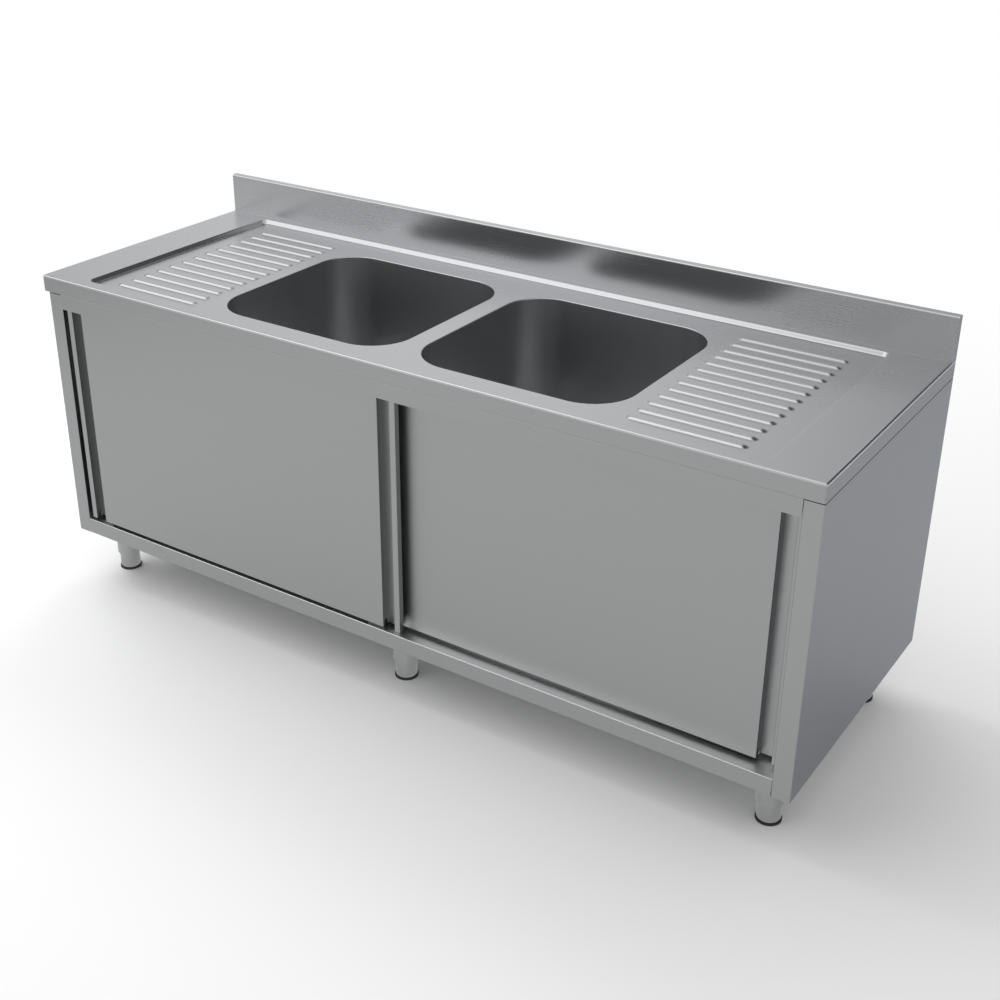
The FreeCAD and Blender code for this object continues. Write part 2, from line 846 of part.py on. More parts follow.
def foot_places():
    """Give the name and the axis of each foot."""
    left = cabinet_left + size("foot_inset")
    right = cabinet_right - size("foot_inset")
    columns = (("left", left), ("middle", (left + right) / 2), ("right", right))
    rows = (("front", front + size("foot_setback")), ("rear", rear - size("foot_setback")))
    return [(row + "_" + column, x, y) for column, x in columns for row, y in rows]


def make_channel(name, middle):
    """Fold a channel with turned-in lips under the shelf, which a front and a rear foot are fixed to."""
    piece = Piece("foot_channel_" + name)
    half = size("channel_width") / 2
    flange = size("stiffener_flange")
    sheet = size("stiffener_sheet")
    floor = cabinet_base + size("foot_plate_thickness") + sheet
    lip = shelf_underside - sheet
    section = [
        (middle - half + flange, lip),
        (middle - half, lip),
        (middle - half, floor),
        (middle + half, floor),
        (middle + half, lip),
        (middle + half - flange, lip),
    ]
    start = bottom_rail_rear + size("channel_end_gap")
    end = back_inner - size("channel_end_gap")
    piece.pad("section", "XZ", start, end, folded(section, sheet, None, -1))


def make_foot_socket(name, x, y):
    """Make the fixed part of one foot: a plate with a sleeve below it."""
    piece = Piece("foot_socket_" + name)
    half_length = size("foot_plate_length") / 2
    half_depth = size("foot_plate_depth") / 2
    bore = size("leg_diameter") / 2 + size("leg_clearance")
    sleeve = size("sleeve_diameter") / 2
    sleeve_base = cabinet_base - size("sleeve_length")
    piece.revolve("sleeve", "XZ", "V_Axis", rectangle(bore, sleeve, sleeve_base, cabinet_base))
    plate = rectangle(-half_length, half_length, -half_depth, half_depth)
    piece.pad("plate", "XY", cabinet_base, cabinet_base + size("foot_plate_thickness"), plate)
    piece.place(x, y, 0)
    return piece


def make_foot_leg(name, x, y):
    """Turn the leg of one foot, which slides in the socket, with its floor pad."""
    piece = Piece("foot_leg_" + name)
    leg = size("leg_diameter") / 2
    pad = size("pad_diameter") / 2
    leg_top = cabinet_base - size("leg_top_gap")
    floor = as_size(0)
    axis = as_size(0)
    profile = [
        (axis, floor, None),
        (pad, floor, None),
        (pad, size("pad_height"), None),
        (leg, size("pad_height"), None),
        (leg, leg_top, None),
        (axis, leg_top, None),
    ]
    piece.revolve("bar", "XZ", "V_Axis", profile)
    piece.place(x, y, 0)


def make_track(name, side):
    """Fold one door track: a C section, open in a slot along its underside."""
    piece = Piece("track_" + name)
    middle = door_middle(side)
    half = size("track_width") / 2
    slot = size("track_slot") / 2
    section = [
        (middle - slot, track_base),
        (middle - half, track_base),
        (middle - half, track_top),
        (middle + half, track_top),
        (middle + half, track_base),
        (middle + slot, track_base),
    ]
    low = opening_left + size("track_end_gap")
    high = opening_right - size("track_end_gap")
    piece.pad("section", "YZ", low, high, folded(section, size("track_sheet"), None, -1))


def make_guide():
    """Make the bottom guide, with a fin for each door, where the doors always overlap."""
    piece = Piece("bottom_guide")
    start = door_left_edge("right") + size("guide_offset")
    end = start + size("guide_length")
    middle = (door_middle("left") + door_middle("right")) / 2
    half = size("guide_depth") / 2
    base_top = bottom_rail_top + size("guide_base")
    piece.pad("base", "XY", bottom_rail_top, base_top, rectangle(start, end, middle - half, middle + half))
    for side in ("left", "right"):
        fin_middle = door_middle(side)
        fin_half = size("fin_thickness") / 2
        inset = size("fin_inset")
        fin = rectangle(start + inset, end - inset, fin_middle - fin_half, fin_middle + fin_half)
        piece.pad(side + "_fin", "XY", base_top, base_top + size("fin_height"), fin)


def make_door(side):
    """Make one sliding door: folded skin with two finger grooves, inner pan and two hangers."""
    left = door_left_edge(side)
    right = left + door_width
    face = door_face(side)
    back = face + size("door_depth")
    land = size("door_land")
    groove = size("groove_width")
    groove_floor = face + groove_depth
    middle = door_middle(side)
    slot_half = size("fin_thickness") / 2 + size("fin_side_gap")
    slot_top = bottom_rail_top + size("guide_base") + size("fin_height") + size("fin_top_gap")
    slot_outline = rectangle(left + panel * 2, right - panel * 2, middle - slot_half, middle + slot_half)

    skin = Piece("door_%s_skin" % side)
    plan = [
        (left, face + size("door_edge_return")),
        (left, face),
        (left + land, face),
        (left + land, groove_floor, None),
        (left + land + groove, groove_floor, None),
        (left + land + groove, face),
        (right - land - groove, face),
        (right - land - groove, groove_floor, None),
        (right - land, groove_floor, None),
        (right - land, face),
        (right, face),
        (right, face + size("door_edge_return")),
    ]
    skin.pad("plan", "XY", door_base, door_top, folded(plan, panel, panel_bend, 1))
    skin.pocket("guide_slot", "XY", door_base, slot_top, slot_outline)

    pan = Piece("door_%s_pan" % side)
    pan_left = left + land + groove + panel
    pan_right = right - land - groove - panel
    pan_front = face + panel
    block = [
        (pan_left, pan_front, panel_bend),
        (pan_right, pan_front, panel_bend),
        (pan_right, back, None),
        (pan_left, back, None),
    ]
    pan.pad("block", "XY", door_base, door_top, block)
    inside = rectangle(pan_left + panel, pan_right - panel, door_base + panel, door_top - panel)
    pan.pocket("hollow", "XZ", pan_front, back - panel, inside)
    pan.pocket("guide_slot", "XY", door_base, slot_top, slot_outline)

    inset = size("hanger_inset")
    hangers = []
    for index, centre in enumerate((left + inset, right - inset), start=1):
        hangers.append(make_hanger("door_%s_hanger_%d" % (side, index), centre, middle))
        make_roller("door_%s_roller_%d" % (side, index), centre, middle)
    join_copies("door_%s_hangers" % side, hangers)


def make_hanger(name, centre, middle):
    """Fold one hanger, which stands on the pan and carries the roller in the track."""
    piece = Piece(name)
    half_plate = size("hanger_plate") / 2
    half_length = size("hanger_length") / 2
    flange_top = door_top + size("hanger_flange_thickness")
    head = axle_height + size("hanger_head")
    section = [
        (middle - half_plate, door_top, None),
        (middle + size("hanger_flange"), door_top, None),
        (middle + size("hanger_flange"), flange_top, None),
        (middle + half_plate, flange_top, None),
        (middle + half_plate, head, None),
        (middle - half_plate, head, None),
    ]
    piece.pad("section", "YZ", centre - half_length, centre + half_length, section)
    hole = size("axle_diameter") + size("axle_clearance") * 2
    low = middle - half_plate
    high = middle + half_plate
    piece.bore("axle_hole", "XZ", low, high, centre, axle_height, hole)
    return piece


def make_roller(name, centre, middle):
    """Turn one roller: a wheel behind the hanger, on an axle that goes through it."""
    piece = Piece(name)
    wheel = size("wheel_diameter") / 2
    axle = size("axle_diameter") / 2
    half_plate = size("hanger_plate") / 2
    inner = half_plate + size("wheel_side_gap")
    outer = inner + size("wheel_width")
    axis = as_size(0)
    profile = [
        (-half_plate, axis, None),
        (outer, axis, None),
        (outer, wheel, None),
        (inner, wheel, None),
        (inner, axle, None),
        (-half_plate, axle, None),
    ]
    piece.revolve("wheel", "YZ", "H_Axis", profile)
    piece.place(centre, middle, axle_height)


def check_and_export():
    """Stop on any failed object or bad shape, then write each sub-part to its own file."""
    document.recompute()
    for item in document.Objects:
        if "Invalid" in item.State or "Error" in item.State:
            raise RuntimeError("%s failed: %s" % (item.Name, item.State))
    for part in SUB_PARTS:
        copies = len(part.Links) if part.TypeId == "Part::Compound" else 1
        if part.Shape.isNull() or not part.Shape.isValid() or len(part.Shape.Solids) != copies:
            raise RuntimeError("%s lacks a valid solid" % part.Label)
    os.makedirs("parts", exist_ok=True)
    for part in SUB_PARTS:
        part.Shape.exportStep("parts/%s.step" % part.Label)


SIDES = (("left", -1), ("right", 1))
make_worktop()
for side_name, side_sign in SIDES:
    make_bowl(side_name, side_sign)
    make_stiffener(side_name, side_sign)
waste_places = [(side_name, bowl_middle_x * side_sign) for side_name, side_sign in SIDES]
join_copies("waste_bodies", [make_waste_body(*place) for place in waste_places])
join_copies("waste_strainers", [make_waste_strainer(*place) for place in waste_places])
join_copies("waste_nuts", [make_waste_nut(*place) for place in waste_places])
make_side("left", cabinet_left, -1)
make_side("right", cabinet_right, 1)
make_back()
make_rails()
make_shelf()
for foot_name, foot_x, foot_y in foot_places():
    make_foot_leg(foot_name, foot_x, foot_y)
    if foot_name.startswith("front"):
        make_channel(foot_name.split("_")[1], foot_x)
join_copies("foot_sockets", [make_foot_socket(*place) for place in foot_places()])
make_track("front", "left")
make_track("rear", "right")
make_guide()
make_door("left")
make_door("right")
check_and_export()
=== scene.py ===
import math

import bmesh
import bpy
import numpy as np
from mathutils import Matrix, Vector
from mathutils.geometry import delaunay_2d_cdt


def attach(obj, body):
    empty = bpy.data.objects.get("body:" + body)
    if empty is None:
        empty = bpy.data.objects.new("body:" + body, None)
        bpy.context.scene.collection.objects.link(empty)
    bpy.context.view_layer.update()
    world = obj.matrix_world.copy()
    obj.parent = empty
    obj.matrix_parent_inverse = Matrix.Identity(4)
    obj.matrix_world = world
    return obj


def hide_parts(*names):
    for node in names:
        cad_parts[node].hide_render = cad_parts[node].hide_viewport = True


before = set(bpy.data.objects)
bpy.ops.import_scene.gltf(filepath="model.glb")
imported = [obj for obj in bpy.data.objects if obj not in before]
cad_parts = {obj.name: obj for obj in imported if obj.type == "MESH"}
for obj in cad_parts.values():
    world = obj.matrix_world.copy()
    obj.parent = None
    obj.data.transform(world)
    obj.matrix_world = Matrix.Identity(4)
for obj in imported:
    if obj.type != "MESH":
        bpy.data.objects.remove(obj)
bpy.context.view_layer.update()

# Finishes and finer surfaces of the kitchen sink unit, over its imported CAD. Metres; X right,
# Y to the rear, Z up, origin on the floor under the middle of the worktop.


# ---------------------------------------------------------------- camera and studio

def set_camera():
    """Stand where the photograph was taken: yaw, then pitch down from level, then a small roll.

    The focal length and the optical centre are in pixels of a picture 1000 pixels wide.
    """
    yaw, pitch, roll = 0.59420374, 0.45165178, 0.00227428
    pixels, focal, centre_x, centre_y = 1000.0, 1449.526, 478.7466, 463.7373
    data = bpy.data.cameras.new("photo_camera")
    data.sensor_width = 36.0
    data.lens = focal * data.sensor_width / pixels
    data.shift_x = (pixels / 2 - centre_x) / pixels
    data.shift_y = (centre_y - pixels / 2) / pixels
    data.clip_start = 0.05
    camera = bpy.data.objects.new("photo_camera", data)
    bpy.context.scene.collection.objects.link(camera)
    turn = Matrix.Rotation(yaw, 4, "Z") @ Matrix.Rotation(math.pi / 2 - pitch, 4, "X")
    place = Matrix.Translation((1.750529, -2.534961, 1.939952))
    camera.matrix_world = place @ turn @ Matrix.Rotation(roll, 4, "Z")
    bpy.context.scene.camera = camera


RAMP_TOP = 2.0      # the strength that the colour ramp's white stands for
LEAST_REACH = 0.05  # keeps the bearing steady straight up


def set_world(fill, front, walls):
    """White for camera rays, an even fill for diffuse ones, and a studio's walls for the gloss.

    Behind the object the walls' strength follows their bearing: walls lists pairs of a place,
    east over level reach from -1 to 1, and a strength of RAMP_TOP at most, with straight runs
    between them. In front of the object it is even.
    """
    world = bpy.data.worlds.new("studio")
    bpy.context.scene.world = world
    world.use_nodes = True
    nodes, links = world.node_tree.nodes, world.node_tree.links
    nodes.clear()

    def math_node(kind, *values, clamp=False):
        node = nodes.new("ShaderNodeMath")
        node.operation = kind
        node.use_clamp = clamp
        for index, value in enumerate(values):
            if isinstance(value, float):
                node.inputs[index].default_value = value
            else:
                links.new(value, node.inputs[index])
        return node.outputs[0]

    def background(strength):
        node = nodes.new("ShaderNodeBackground")
        node.inputs["Color"].default_value = (1.0, 1.0, 1.0, 1.0)
        if isinstance(strength, float):
            node.inputs["Strength"].default_value = strength
        else:
            links.new(strength, node.inputs["Strength"])
        return node.outputs[0]

    way = nodes.new("ShaderNodeTexCoord")
    parts = nodes.new("ShaderNodeSeparateXYZ")
    links.new(way.outputs["Generated"], parts.inputs[0])
    east, north = parts.outputs["X"], parts.outputs["Y"]
    squares = math_node("ADD", math_node("MULTIPLY", east, east), math_node("MULTIPLY", north, north))
    reach = math_node("MAXIMUM", math_node("SQRT", squares), LEAST_REACH)
    bearing = math_node("DIVIDE", east, reach)
    ramp = nodes.new("ShaderNodeValToRGB")
    stops = ramp.color_ramp.elements
    while len(stops) < len(walls):
        stops.new(0.5)
    for stop, (place, strength) in zip(stops, walls):
        stop.position = (place + 1.0) / 2
        stop.color = (*[strength / RAMP_TOP] * 3, 1.0)
    links.new(math_node("ADD", math_node("MULTIPLY", bearing, 0.5), 0.5), ramp.inputs["Fac"])
    wall = math_node("MULTIPLY", ramp.outputs["Color"], RAMP_TOP)
    behind = math_node("ADD", math_node("MULTIPLY", north, 2.5), 0.5, clamp=True)
    ahead = math_node("MULTIPLY", math_node("SUBTRACT", 1.0, behind), front)
    gloss = math_node("ADD", math_node("MULTIPLY", wall, behind), ahead)
    path = nodes.new("ShaderNodeLightPath")
    glossy = math_node("MAXIMUM", path.outputs["Is Glossy Ray"], path.outputs["Is Transmission Ray"])
    inner = nodes.new("ShaderNodeMixShader")
    links.new(glossy, inner.inputs[0])
    links.new(background(fill), inner.inputs[1])
    links.new(background(gloss), inner.inputs[2])
    outer = nodes.new("ShaderNodeMixShader")
    links.new(path.outputs["Is Camera Ray"], outer.inputs[0])
    links.new(inner.outputs[0], outer.inputs[1])
    links.new(background(1.0), outer.inputs[2])
    out = nodes.new("ShaderNodeOutputWorld")
    links.new(outer.outputs[0], out.inputs["Surface"])


def add_softbox(name, place, target, width, height, power, glare=False):
    """Hang one soft box and turn it towards a point, with or without its glare on the steel."""
    data = bpy.data.lights.new(name, "AREA")
    data.shape = "RECTANGLE"
    data.size = width
    data.size_y = height
    data.energy = power
    lamp = bpy.data.objects.new(name, data)
    lamp.location = place
    lamp.rotation_euler = (Vector(target) - Vector(place)).to_track_quat("-Z", "Y").to_euler()
    lamp.visible_glossy = glare
    bpy.context.scene.collection.objects.link(lamp)


def add_floor():
    """Lay the pale studio floor, wide enough to meet the white background.

    Seen by the camera it turns into the white background over 1.7 to 3.2 m from the origin. Only
    in the steel's reflections, 0.55 of it is a white card, which fades out between x = 0.85 and
    1.2, and a grey card covers 0.6 of it at the far left, from x = -2.2 to -3.4.
    """
    mesh = bpy.data.meshes.new("studio_floor")
    reach = 30.0
    mesh.from_pydata([(-reach, -reach, 0), (reach, -reach, 0), (reach, reach, 0), (-reach, reach, 0)],
                     [], [(0, 1, 2, 3)])
    floor = bpy.data.objects.new("studio_floor", mesh)
    bpy.context.scene.collection.objects.link(floor)
    material = bpy.data.materials.new("studio_floor_paint")
    material.use_nodes = True
    nodes, links = material.node_tree.nodes, material.node_tree.links
    paint = nodes["Principled BSDF"]
    paint.inputs["Base Color"].default_value = (0.93, 0.93, 0.93, 1.0)
    paint.inputs["Roughness"].default_value = 0.9
    paint.inputs["Specular IOR Level"].default_value = 0.0
    place = nodes.new("ShaderNodeTexCoord")
    path = nodes.new("ShaderNodeLightPath")
    parts = nodes.new("ShaderNodeSeparateXYZ")
    links.new(place.outputs["Object"], parts.inputs[0])
    distance = nodes.new("ShaderNodeVectorMath")
    distance.operation = "LENGTH"
    links.new(place.outputs["Object"], distance.inputs[0])
    surface = paint.outputs[0]
    for source, ray, limits, strength in (
        (parts.outputs["X"], "Is Glossy Ray", (0.85, 1.2, 0.55, 0.0), 0.9),
        (parts.outputs["X"], "Is Glossy Ray", (-3.4, -2.2, 0.6, 0.0), 0.35),
        (distance.outputs["Value"], "Is Camera Ray", (1.7, 3.2, 0.0, 1.0), 1.0),
    ):
        fade = nodes.new("ShaderNodeMapRange")
        fade.interpolation_type = "SMOOTHSTEP"
        for socket, value in zip(("From Min", "From Max", "To Min", "To Max"), limits):
            fade.inputs[socket].default_value = value
        links.new(source, fade.inputs["Value"])
        share = nodes.new("ShaderNodeMath")
        share.operation = "MULTIPLY"
        links.new(fade.outputs["Result"], share.inputs[0])
        links.new(path.outputs[ray], share.inputs[1])
        white = nodes.new("ShaderNodeEmission")
        white.inputs["Strength"].default_value = strength
        mix = nodes.new("ShaderNodeMixShader")
        links.new(share.outputs[0], mix.inputs[0])
        links.new(surface, mix.inputs[1])
        links.new(white.outputs[0], mix.inputs[2])
        surface = mix.outputs[0]
    links.new(surface, nodes["Material Output"].inputs["Surface"])
    mesh.materials.append(material)


# ---------------------------------------------------------------- finishes

class Finish:
    """A node material, with short calls for the nodes that the finishes share."""

    def __init__(self, name):
        self.material = bpy.data.materials.new(name)
        self.material.use_nodes = True
        self.nodes = self.material.node_tree.nodes
        self.links = self.material.node_tree.links
        self.shader = self.nodes["Principled BSDF"]
        self.coordinates = self.nodes.new("ShaderNodeTexCoord")

    def set(self, socket, value):
        self.shader.inputs[socket].default_value = value

    def noise(self, scale, detail=3.0, stretch=(1.0, 1.0, 1.0)):
        """Noise on object coordinates, stretched by a factor along each axis."""
        mapping = self.nodes.new("ShaderNodeMapping")
        mapping.inputs["Scale"].default_value = stretch
        texture = self.nodes.new("ShaderNodeTexNoise")
        texture.inputs["Scale"].default_value = scale
        texture.inputs["Detail"].default_value = detail
        self.links.new(self.coordinates.outputs["Object"], mapping.inputs["Vector"])
        self.links.new(mapping.outputs["Vector"], texture.inputs["Vector"])
        return texture.outputs["Fac"]

    def ranged(self, source, low, high, start=0.3, end=0.7):
        """Map a noise value from start..end to low..high."""
        node = self.nodes.new("ShaderNodeMapRange")
        node.inputs["From Min"].default_value = start
        node.inputs["From Max"].default_value = end
        node.inputs["To Min"].default_value = low
        node.inputs["To Max"].default_value = high
        self.links.new(source, node.inputs["Value"])
        return node.outputs["Result"]

    def math(self, kind, first, second):
        node = self.nodes.new("ShaderNodeMath")
        node.operation = kind
        for index, value in enumerate((first, second)):
            if isinstance(value, (int, float)):
                node.inputs[index].default_value = value
            else:
                self.links.new(value, node.inputs[index])
        return node.outputs[0]

    def mixed(self, factor, first, second):
        """Blend two colours by a factor."""
        node = self.nodes.new("ShaderNodeMix")
        node.data_type = "RGBA"
        self.links.new(factor, node.inputs["Factor"])
        for socket, value in ((6, first), (7, second)):
            if hasattr(value, "is_linked"):
                self.links.new(value, node.inputs[socket])
            else:
                node.inputs[socket].default_value = (*value, 1.0)
        return node.outputs[2]

    def tinted(self, source, colour, low, high):
        """Map a noise value to a colour between low and high times the given one."""
        dark = [channel * low for channel in colour]
        light = [channel * high for channel in colour]
        return self.mixed(self.ranged(source, 0.0, 1.0), dark, light)

    def above(self, height):
        """1 where the object's Z is over a height, and 0 below it."""
        parts = self.nodes.new("ShaderNodeSeparateXYZ")
        self.links.new(self.coordinates.outputs["Object"], parts.inputs[0])
        return self.math("GREATER_THAN", parts.outputs["Z"], height)

    def bump(self, height, strength, distance):
        node = self.nodes.new("ShaderNodeBump")
        node.inputs["Strength"].default_value = strength
        node.inputs["Distance"].default_value = distance
        self.links.new(height, node.inputs["Height"])
        self.links.new(node.outputs["Normal"], self.shader.inputs["Normal"])


GRAIN = {"x": (0.012, 1.0, 1.0), "y": (1.0, 0.012, 1.0), "z": (1.0, 1.0, 0.012)}


def brushed_steel(name, colour, roughness, grain, edge=(1.0, 1.0, 1.0), ledge=None):
    """Satin stainless sheet: faint streaks along one axis and broad, fainter patches.

    edge tints the gloss at grazing angles. ledge gives a height and a lighter colour above it. It
    stands for light that the photograph shows there and the studio doesn't give: the steel is the
    same.
    """
    finish = Finish(name)
    finish.set("Metallic", 1.0)
    finish.set("Specular Tint", (*edge, 1.0))
    broad = finish.noise(3.2, 3.0)
    streaks = finish.noise(210.0, 3.0, GRAIN[grain])
    shade = finish.math("MULTIPLY", finish.math("ADD", streaks, broad), 0.5)
    tone = finish.tinted(shade, colour, 0.992, 1.008)
    # Above the height the base colour is painted lighter: painted light on the same steel.
    if ledge:
        height, bright = ledge
        tone = finish.mixed(finish.above(height), tone, bright)
    finish.links.new(tone, finish.shader.inputs["Base Color"])
    rough = finish.math("ADD", finish.ranged(streaks, roughness - 0.006, roughness + 0.006),
                        finish.ranged(broad, -0.008, 0.008))
    finish.links.new(rough, finish.shader.inputs["Roughness"])
    return finish.material


def leg_on_pad(name, colour, roughness, rubber, pad_height):
    """A brushed leg whose lowest few millimetres are its black rubber pad."""
    finish = Finish(name)
    lines = finish.noise(900.0, 2.0, GRAIN["z"])
    streaks = finish.noise(130.0, 3.0, GRAIN["z"])
    cloud = finish.noise(220.0, 3.0)
    steel = finish.above(pad_height)
    bright = finish.tinted(streaks, colour, 0.98, 1.02)
    dull = finish.tinted(cloud, rubber, 0.8, 1.3)
    finish.links.new(finish.mixed(steel, dull, bright), finish.shader.inputs["Base Color"])
    finish.links.new(steel, finish.shader.inputs["Metallic"])
    dullness = 0.7
    rough = finish.math("SUBTRACT", dullness, finish.math("MULTIPLY", steel, dullness - roughness))
    finish.links.new(rough, finish.shader.inputs["Roughness"])
    finish.bump(lines, 0.005, 0.00001)
    return finish.material


def zinc_coat(name, colour, roughness):
    """Galvanised sheet: faint spangle of cells a few millimetres across."""
    finish = Finish(name)
    finish.set("Metallic", 0.9)
    cells = finish.nodes.new("ShaderNodeTexVoronoi")
    cells.inputs["Scale"].default_value = 140.0
    finish.links.new(finish.coordinates.outputs["Object"], cells.inputs["Vector"])
    cloud = finish.noise(14.0, 4.0)
    spangle = finish.math("MULTIPLY", cells.outputs["Color"], 0.4)
    shade = finish.math("ADD", spangle, finish.math("MULTIPLY", cloud, 0.6))
    finish.links.new(finish.tinted(shade, colour, 0.86, 1.12), finish.shader.inputs["Base Color"])
    rough = finish.ranged(cloud, roughness - 0.06, roughness + 0.06)
    finish.links.new(rough, finish.shader.inputs["Roughness"])
    finish.bump(cells.outputs["Distance"], 0.1, 0.0001)
    return finish.material


def polished_chrome(name, colour, roughness):
    """Bright plated brass with faint water marks."""
    finish = Finish(name)
    finish.set("Metallic", 1.0)
    marks = finish.noise(60.0, 4.0)
    finish.links.new(finish.tinted(marks, colour, 0.93, 1.0), finish.shader.inputs["Base Color"])
    rough = finish.ranged(marks, roughness * 0.6, roughness * 1.6)
    finish.links.new(rough, finish.shader.inputs["Roughness"])
    return finish.material


def moulded_plastic(name, colour, roughness):
    """Moulded plastic with a fine leathered surface."""
    finish = Finish(name)
    pores = finish.noise(900.0, 3.0)
    cloud = finish.noise(40.0, 3.0)
    finish.links.new(finish.tinted(cloud, colour, 0.85, 1.15), finish.shader.inputs["Base Color"])
    rough = finish.ranged(pores, roughness - 0.08, roughness + 0.08)
    finish.links.new(rough, finish.shader.inputs["Roughness"])
    finish.bump(pores, 0.2, 0.00005)
    return finish.material


# ---------------------------------------------------------------- surfaces on grids

def rounded_outline(box, radius, steps=14):
    """Points of a rectangle with round corners, anticlockwise from its front right corner.

    Each corner is a quarter circle: centre + radius * (cos a, sin a), in steps equal angles, and
    a straight side runs from one corner's last point to the next one's first.
    """
    x_low, x_high, y_low, y_high = box
    angles = np.linspace(0.0, math.pi / 2, steps + 1)
    quarter = np.stack([np.cos(angles), np.sin(angles)], axis=1)
    turned = [quarter]
    for _ in range(3):
        last = turned[-1]
        turned.append(np.stack([-last[:, 1], last[:, 0]], axis=1))
    centres = np.array([
        (x_high - radius, y_low + radius), (x_high - radius, y_high - radius),
        (x_low + radius, y_high - radius), (x_low + radius, y_low + radius),
    ])
    order = (turned[3], turned[0], turned[1], turned[2])
    return np.concatenate([centre + arc * radius for centre, arc in zip(centres, order)])


def grown(box, amount):
    """A box of four limits, widened on every side."""
    return box[0] - amount, box[1] + amount, box[2] - amount, box[3] + amount


def at_height(outline, z):
    """An outline lifted to a height."""
    return np.column_stack([outline, np.full(len(outline), z)])


def ring_faces(rings, count, closed):
    """Quads between neighbouring rows of points: row i, column j to row i + 1, column j + 1."""
    row = np.arange(rings - 1)[:, None] * count
    column = np.arange(count if closed else count - 1)[None, :]
    following = (column + 1) % count
    corners = [row + column, row + following, row + count + following, row + count + column]
    return np.stack(corners, axis=-1).reshape(-1, 4)


MERGE = 1e-5        # patches are joined where their points are this close
NOTHING = 1e-7      # shorter edges than this are dropped
SHARP = 35.0        # degrees past which an edge shades as sharp


class Surface:
    """Patches that are joined into one mesh."""

    def __init__(self):
        self.points = []
        self.count = 0
        self.faces = []
        self.runs = []

    def add_points(self, points):
        """Add a block of points, and return the number of its first."""
        first = self.count
        self.points.append(points)
        self.count += len(points)
        return first

    def change_finish(self, index):
        """Give the faces from here on the piece's material of this index."""
        self.runs.append((len(self.faces), index))

    def add_rings(self, rings, closed=True, flip=False):
        """Add a patch whose rows are rings of points of one length."""
        rings = np.asarray(rings, float)
        faces = ring_faces(rings.shape[0], rings.shape[1], closed)
        if flip:
            faces = faces[:, ::-1]
        self.faces.extend((faces + self.add_points(rings.reshape(-1, 3))).tolist())

    def add_face(self, points):
        """Add one flat face, anticlockwise as seen from outside."""
        first = self.add_points(np.asarray(points, float))
        self.faces.append(list(range(first, first + len(points))))

    def add_flat(self, outlines, z):
        """Fill a level region: the first outline is its rim and the rest are holes in it."""
        edges = []
        start = 0
        for outline in outlines:
            index = np.arange(len(outline))
            edges.append(np.stack([index, np.roll(index, -1)], axis=1) + start)
            start += len(outline)
        points = [Vector(point) for point in np.concatenate(outlines)]
        result = delaunay_2d_cdt(points, np.concatenate(edges).tolist(), [], 1, NOTHING)
        flat = np.array([(place.x, place.y) for place in result[0]])
        triangles = np.array(result[2])
        a, b, c = (flat[triangles[:, corner]] for corner in range(3))
        centre = (a + b + c) / 3
        keep = inside(centre, outlines[0])
        for outline in outlines[1:]:
            keep &= ~inside(centre, outline)
        one, other = b - a, c - a
        turn = one[:, 0] * other[:, 1] - one[:, 1] * other[:, 0]
        ordered = np.where(turn[:, None] > 0, triangles, triangles[:, ::-1])[keep]
        self.faces.extend((ordered + self.add_points(at_height(flat, z))).tolist())

    def make(self, name, materials, body, replaced, thickness):
        """Join the patches, give the sheet its thickness below the surface, and dress the piece."""
        mesh = bpy.data.meshes.new(name)
        mesh.from_pydata(np.concatenate(self.points).tolist(), [], self.faces)
        indices = np.zeros(len(self.faces), dtype=np.int32)
        for start, index in self.runs:
            indices[start:] = index
        mesh.polygons.foreach_set("material_index", indices)
        work = bmesh.new()
        work.from_mesh(mesh)
        bmesh.ops.remove_doubles(work, verts=work.verts, dist=MERGE)
        bmesh.ops.dissolve_degenerate(work, edges=work.edges, dist=NOTHING)
        for face in work.faces:
            face.smooth = True
        limit = math.radians(SHARP)
        for edge in work.edges:
            if len(edge.link_faces) == 2 and edge.calc_face_angle(0.0) > limit:
                edge.smooth = False
        work.to_mesh(mesh)
        work.free()
        for material in materials:
            mesh.materials.append(material)
        piece = bpy.data.objects.new(name, mesh)
        bpy.context.scene.collection.objects.link(piece)
        solid = piece.modifiers.new("sheet", "SOLIDIFY")
        solid.thickness = thickness
        solid.offset = -1.0
        normals = piece.modifiers.new("even_normals", "WEIGHTED_NORMAL")
        normals.keep_sharp = True
        normals.weight = 100
        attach(piece, body)
        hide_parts(replaced)


def inside(points, outline):
    """Tell which points lie inside an outline, by counting the sides crossed along +X."""
    x, y = points[:, 0:1], points[:, 1:2]
    start = outline
    end = np.roll(outline, -1, axis=0)
    crosses = (start[None, :, 1] > y) != (end[None, :, 1] > y)
    rise = end[None, :, 1] - start[None, :, 1]
    rise = np.where(np.abs(rise) < 1e-12, 1e-12, rise)
    at = start[None, :, 0] + (y - start[None, :, 1]) * (end[None, :, 0] - start[None, :, 0]) / rise
    return (np.sum(crosses & (x < at), axis=1) % 2) == 1


# ---------------------------------------------------------------- worktop

MM = 0.001
TOP = 0.820
FLOOR = 0.810
SHEET = 1.5 * MM
HOLD = 1.5 * MM     # a level strip beside each bend, so that the flats next to it shade as flats
WORKTOP = (-1.000, 1.000, -0.350, 0.350)
BEND = 4.0 * MM
SKIRT = 0.040
TURNED_IN = 0.015   # how far the hem and the upstand's folded-back top reach
RECESS = (-0.880, 0.880, -0.323, 0.313)
RECESS_CORNER = 0.022
RECESS_DEPTH = 0.010
RECESS_SLOPE = 0.012
RECESS_FLOOR = (-0.868, 0.868, -0.311, 0.301)
FLOOR_CORNER = 0.010
BOWLS = {"left": (-0.527, -0.027, -0.271, 0.229), "right": (0.027, 0.527, -0.271, 0.229)}
BOWL_CORNER = 0.100
BOWL_STEPS = 20
RIM = 2.2 * MM
RIBS = {"left": (-0.812, -0.567), "right": (0.567, 0.812)}
RIB_STARTS = [-0.283 + 0.042 * index for index in range(13)]
RIB_WIDTH = 0.020
